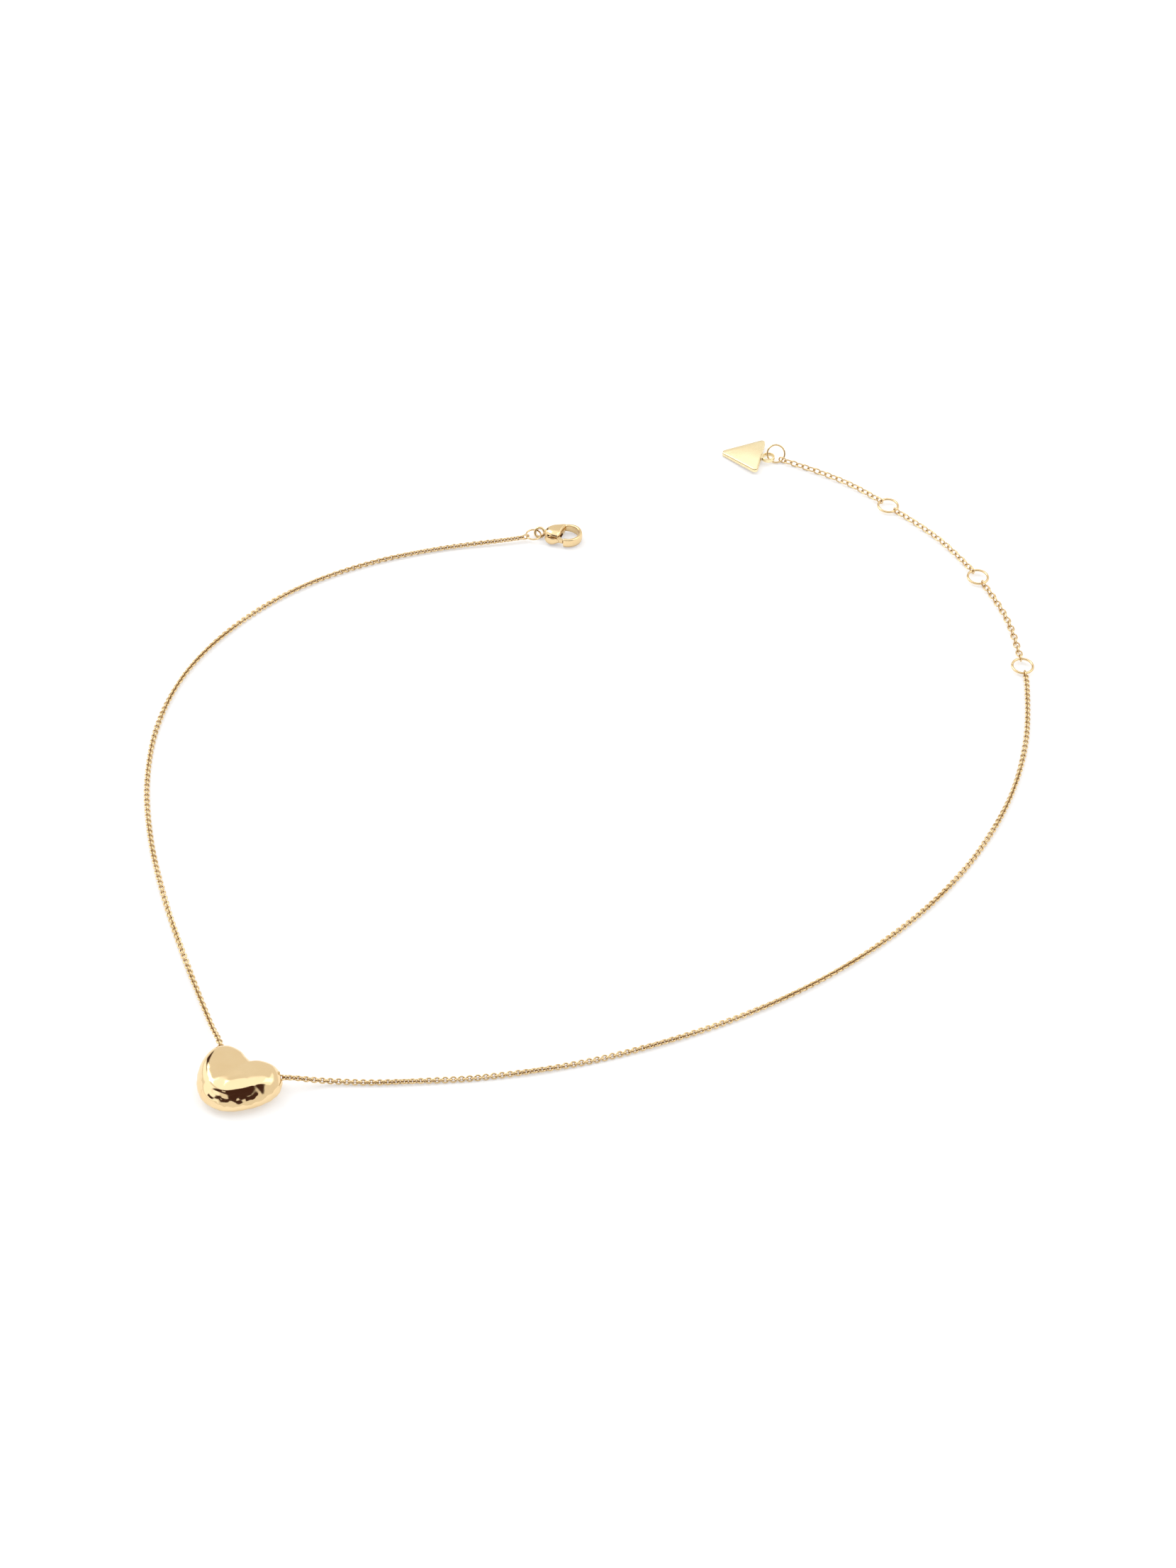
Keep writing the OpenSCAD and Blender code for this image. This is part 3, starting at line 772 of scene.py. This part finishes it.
# The tag is drawn along +X with its eye at the origin, as in the CAD part. Its plate starts a little
# nearer the eye and is a little longer than the CAD's.
# Inset and height round the edge of the plate, which has a fine groove under its face, and of its neck.
TAG_EDGE = [(0.20, 0.0), (0.06, 0.06), (0.0, 0.20), (0.0, 0.60), (0.03, 0.66), (0.15, 0.70), (0.15, 0.74),
            (0.06, 0.79), (0.05, 0.93), (0.08, 1.01), (0.14, 1.05)]
NECK_EDGE = [(0.18, 0.0), (0.05, 0.05), (0.0, 0.18), (0.0, 0.67), (0.05, 0.80), (0.18, 0.85)]
TAG_HEADING = math.radians(169.5)
TAG_W, TAG_H, TAG_CORNER = 10.5, 8.45, 0.75
TAG_EYE_R, TAG_HOLE_R, TAG_EYE_T, TAG_EYE_Z = 1.42, 1.00, 0.85, 0.70
TAG_NECK_L, TAG_NECK_W, NECK_CORNER = 1.4, 1.6, 0.3


def rounded_slab(name, corners, radius, levels):
    """A convex plate with round corners. Levels gives the inset and the height round its edge."""
    turns = np.linspace(0, 1, 13)
    corners = [np.array(c, float) for c in corners]
    points = []
    for inset, z in levels:
        for i, corner in enumerate(corners):
            before, after = corner - corners[i - 1], corners[(i + 1) % len(corners)] - corner
            start = math.atan2(-before[0], before[1])
            swing = (math.atan2(-after[0], after[1]) - start) % (2 * math.pi)
            for t in turns:
                a = start + swing * t
                points.append((*(corner + (radius - inset) * np.array((math.cos(a), math.sin(a)))), z))
    return mesh_object(name, points, stack_faces(len(levels), len(turns) * len(corners)))


def make_tag():
    near, tip, half_w = TAG_NECK_L + TAG_CORNER, TAG_NECK_L + TAG_H - TAG_CORNER, TAG_W / 2 - TAG_CORNER
    plate = rounded_slab("tag_plate", [(near, -half_w), (tip, 0), (near, half_w)], TAG_CORNER, TAG_EDGE)
    reach = TAG_NECK_L - TAG_EYE_R + 0.5
    start, end, half_neck = TAG_EYE_R - 0.1, TAG_EYE_R + reach, TAG_NECK_W / 2 - NECK_CORNER
    neck_corners = [(start, -half_neck), (end, -half_neck), (end, half_neck), (start, half_neck)]
    neck = rounded_slab("neck", neck_corners, NECK_CORNER, NECK_EDGE)
    middle_r, half_t = (TAG_EYE_R + TAG_HOLE_R) / 2, (TAG_EYE_R - TAG_HOLE_R) / 2
    sides = np.linspace(0, 2 * math.pi, 32, endpoint=False)
    points = []
    for a in np.linspace(0, 2 * math.pi, 72, endpoint=False):
        for b in sides:
            out = math.copysign(abs(math.cos(b)) ** 0.7, math.cos(b)) * half_t
            up = math.copysign(abs(math.sin(b)) ** 0.7, math.sin(b)) * TAG_EYE_T / 2
            r = middle_r + out
            points.append((r * math.cos(a), r * math.sin(a), TAG_EYE_T / 2 + up))
    eye = mesh_object("eye", points, closed_tube_faces(72, 32))
    for part in (neck, eye):
        carve(plate, part, "UNION")
    lean = math.asin(TAG_EYE_Z / (TAG_NECK_L + TAG_H))
    joint = next(j for j in frame["record"]["behaviour"]["joints"] if j["name"] == "tag_swing")
    place = (Matrix.Translation(Vector(joint["pos_m"]) / MM) @ Matrix.Rotation(TAG_HEADING, 4, "Z")
             @ Matrix.Rotation(lean, 4, "Y"))
    finish_piece(plate, "tag", place, smooth_angle=35)


# ---------------------------------------------------------------- set up and build

RING_SEAMS = {"adjuster_ring_1": 2.4, "adjuster_ring_2": 0.6, "adjuster_ring_3": -0.8, "clasp_jump_ring": 1.9,
              "end_ring": 0.9}
HEART_MIDDLE = (-60.0, -92.1)
HOLE_R = 0.90
SLOT_OF = {part["node"]: part["material_slot"] for part in frame["record"]["subparts"]}
make_camera()
make_world()
make_lights()
make_floor()
MATERIALS = make_materials()
make_chains_and_rings()
make_heart()
make_clasp_body()
make_clasp_lever()
make_clasp_rivet()
make_tag()
for node, thing in frame["nodes"].items():
    thing.data.materials.clear()
    thing.data.materials.append(MATERIALS[SLOT_OF[node]])
